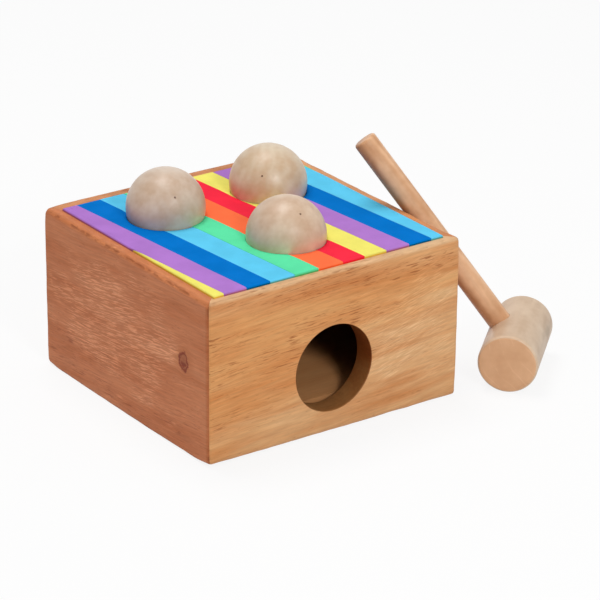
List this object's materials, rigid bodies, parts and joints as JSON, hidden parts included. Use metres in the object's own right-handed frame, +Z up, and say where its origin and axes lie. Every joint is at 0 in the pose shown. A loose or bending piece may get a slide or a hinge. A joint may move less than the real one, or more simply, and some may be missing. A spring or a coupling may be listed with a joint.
{
  "type": "ball pounding toy",
  "caption": "Square wooden box with a striped foam top; wooden balls are hammered down through holes in the foam, drop on a sloped floor and roll out in front. A mallet leans beside it.",
  "frame": {"origin": "middle of the underside of the box, on the surface it stands on", "axes": "+Z up, -Y out of the front wall with the exit hole, +X to the right along the front wall"},
  "size_m": [0.2493, 0.1953, 0.1375],
  "materials": {
    "wall_wood": "hand-sanded and oiled mid-brown hardwood, satin",
    "plywood": "plain plywood, matt",
    "ball_wood": "turned pale hardwood, satin",
    "head_wood": "turned pale hardwood, satin",
    "handle_wood": "warm-toned hardwood dowel, satin",
    "foam_yellow": "closed-cell foam, matt, fine pores",
    "foam_purple": "closed-cell foam, matt, fine pores",
    "foam_dark_blue": "closed-cell foam, matt, fine pores",
    "foam_light_blue": "closed-cell foam, matt, fine pores",
    "foam_green": "closed-cell foam, matt, fine pores",
    "foam_orange": "closed-cell foam, matt, fine pores",
    "foam_red": "closed-cell foam, matt, fine pores"
  },
  "bodies": {
    "toy_box": {"front_panel": "wall_wood", "back_panel": "wall_wood", "left_panel": "wall_wood", "right_panel": "wall_wood", "base_panel": "plywood", "ball_ramp": "plywood", "foam_01_yellow": "foam_yellow", "foam_02_purple": "foam_purple", "foam_03_dark_blue": "foam_dark_blue", "foam_04_light_blue": "foam_light_blue", "foam_04_light_blue_back": "foam_light_blue", "foam_05_green": "foam_green", "foam_05_green_back": "foam_green", "foam_06_orange": "foam_orange", "foam_06_orange_back": "foam_orange", "foam_07_red": "foam_red", "foam_07_red_back": "foam_red", "foam_08_yellow": "foam_yellow", "foam_08_yellow_back": "foam_yellow", "foam_09_purple": "foam_purple", "foam_09_purple_back": "foam_purple", "foam_10_dark_blue": "foam_dark_blue", "foam_11_light_blue": "foam_light_blue", "foam_12_green": "foam_green"},
    "left_ball": {"ball_left": "ball_wood"},
    "right_ball": {"ball_right": "ball_wood"},
    "front_ball": {"ball_front": "ball_wood"},
    "mallet": {"mallet_head": "head_wood", "mallet_handle": "handle_wood"}
  },
  "joints": [
    {"name": "left_ball_press", "type": "slide", "parent": "toy_box", "child": "left_ball", "axis": [0, 0, 1], "range_m": [-0.058, 0.04]},
    {"name": "right_ball_press", "type": "slide", "parent": "toy_box", "child": "right_ball", "axis": [0, 0, 1], "range_m": [-0.0576, 0.04]},
    {"name": "front_ball_press", "type": "slide", "parent": "toy_box", "child": "front_ball", "axis": [0, 0, 1], "range_m": [-0.0604, 0.04]},
    {"name": "mallet_lift", "type": "slide", "parent": "toy_box", "child": "mallet", "axis": [0, 0, 1], "range_m": [0, 0.12]}
  ]
}
